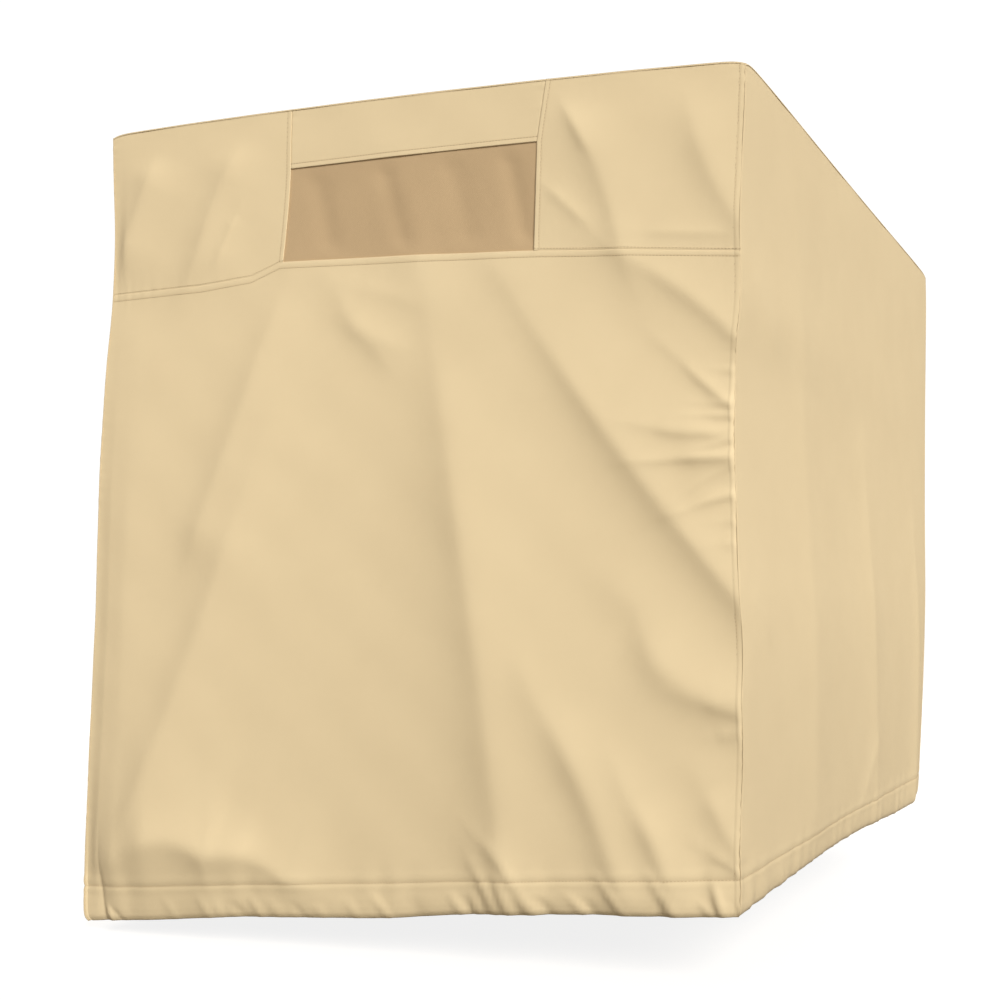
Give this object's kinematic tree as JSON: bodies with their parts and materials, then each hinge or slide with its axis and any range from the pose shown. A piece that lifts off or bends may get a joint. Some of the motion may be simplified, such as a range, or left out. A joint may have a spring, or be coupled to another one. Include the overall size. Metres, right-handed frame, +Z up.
{
  "type": "evaporative cooler cover",
  "caption": "Fitted fabric cover for an evaporative cooler: a draped hood with a flat top, upright sewn walls, a screened window high in the front wall and a gathered hem.",
  "frame": {"origin": "middle of the top's underside, where the cooler's lid carries the cover", "axes": "+Z up; the front wall with the window faces -Y; +X runs to the right along the front wall, seen from outside"},
  "size_m": [0.9661, 1.0709, 1.0733],
  "materials": {
    "canvas": "coated woven polyester, sand colour, low sheen",
    "screen": "close-woven screen cloth, darker tan"
  },
  "bodies": {
    "root": {"top_panel": "canvas", "front_lower": "canvas", "front_upper_left": "canvas", "front_upper_right": "canvas", "window_header": "canvas", "side_right": "canvas", "side_left": "canvas", "back_panel": "canvas", "window_screen": "screen"}
  },
  "joints": []
}
